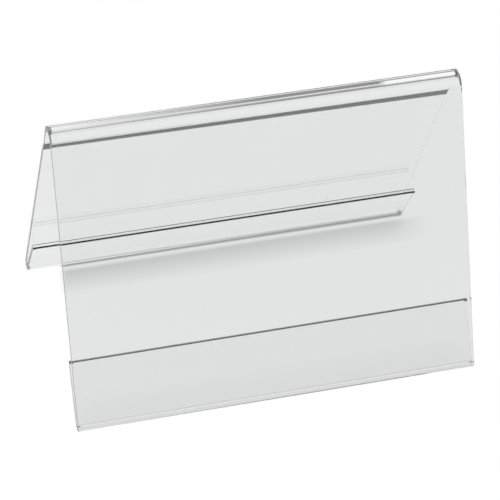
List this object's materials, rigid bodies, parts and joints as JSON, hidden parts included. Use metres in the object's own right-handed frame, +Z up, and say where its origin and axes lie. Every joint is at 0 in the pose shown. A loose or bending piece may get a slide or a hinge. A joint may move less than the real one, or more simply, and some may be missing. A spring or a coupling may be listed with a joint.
{
  "type": "menu stand",
  "caption": "Clear tent-shaped table stand bent from one acrylic sheet, with a round ridge and an inward lip at each foot that holds a landscape card behind each sloping face.",
  "frame": {"origin": "on the table, under the middle of the ridge", "axes": "+X along the ridge, -Y towards the front panel, +Z up"},
  "size_m": [0.21, 0.1308, 0.1462],
  "materials": {
    "clear_acrylic": "water-clear polished acrylic sheet with polished edges"
  },
  "bodies": {
    "root": {"back_fold": "clear_acrylic", "back_lip": "clear_acrylic", "back_panel": "clear_acrylic", "front_fold": "clear_acrylic", "front_lip": "clear_acrylic", "front_panel": "clear_acrylic", "ridge_bend": "clear_acrylic"}
  },
  "joints": []
}
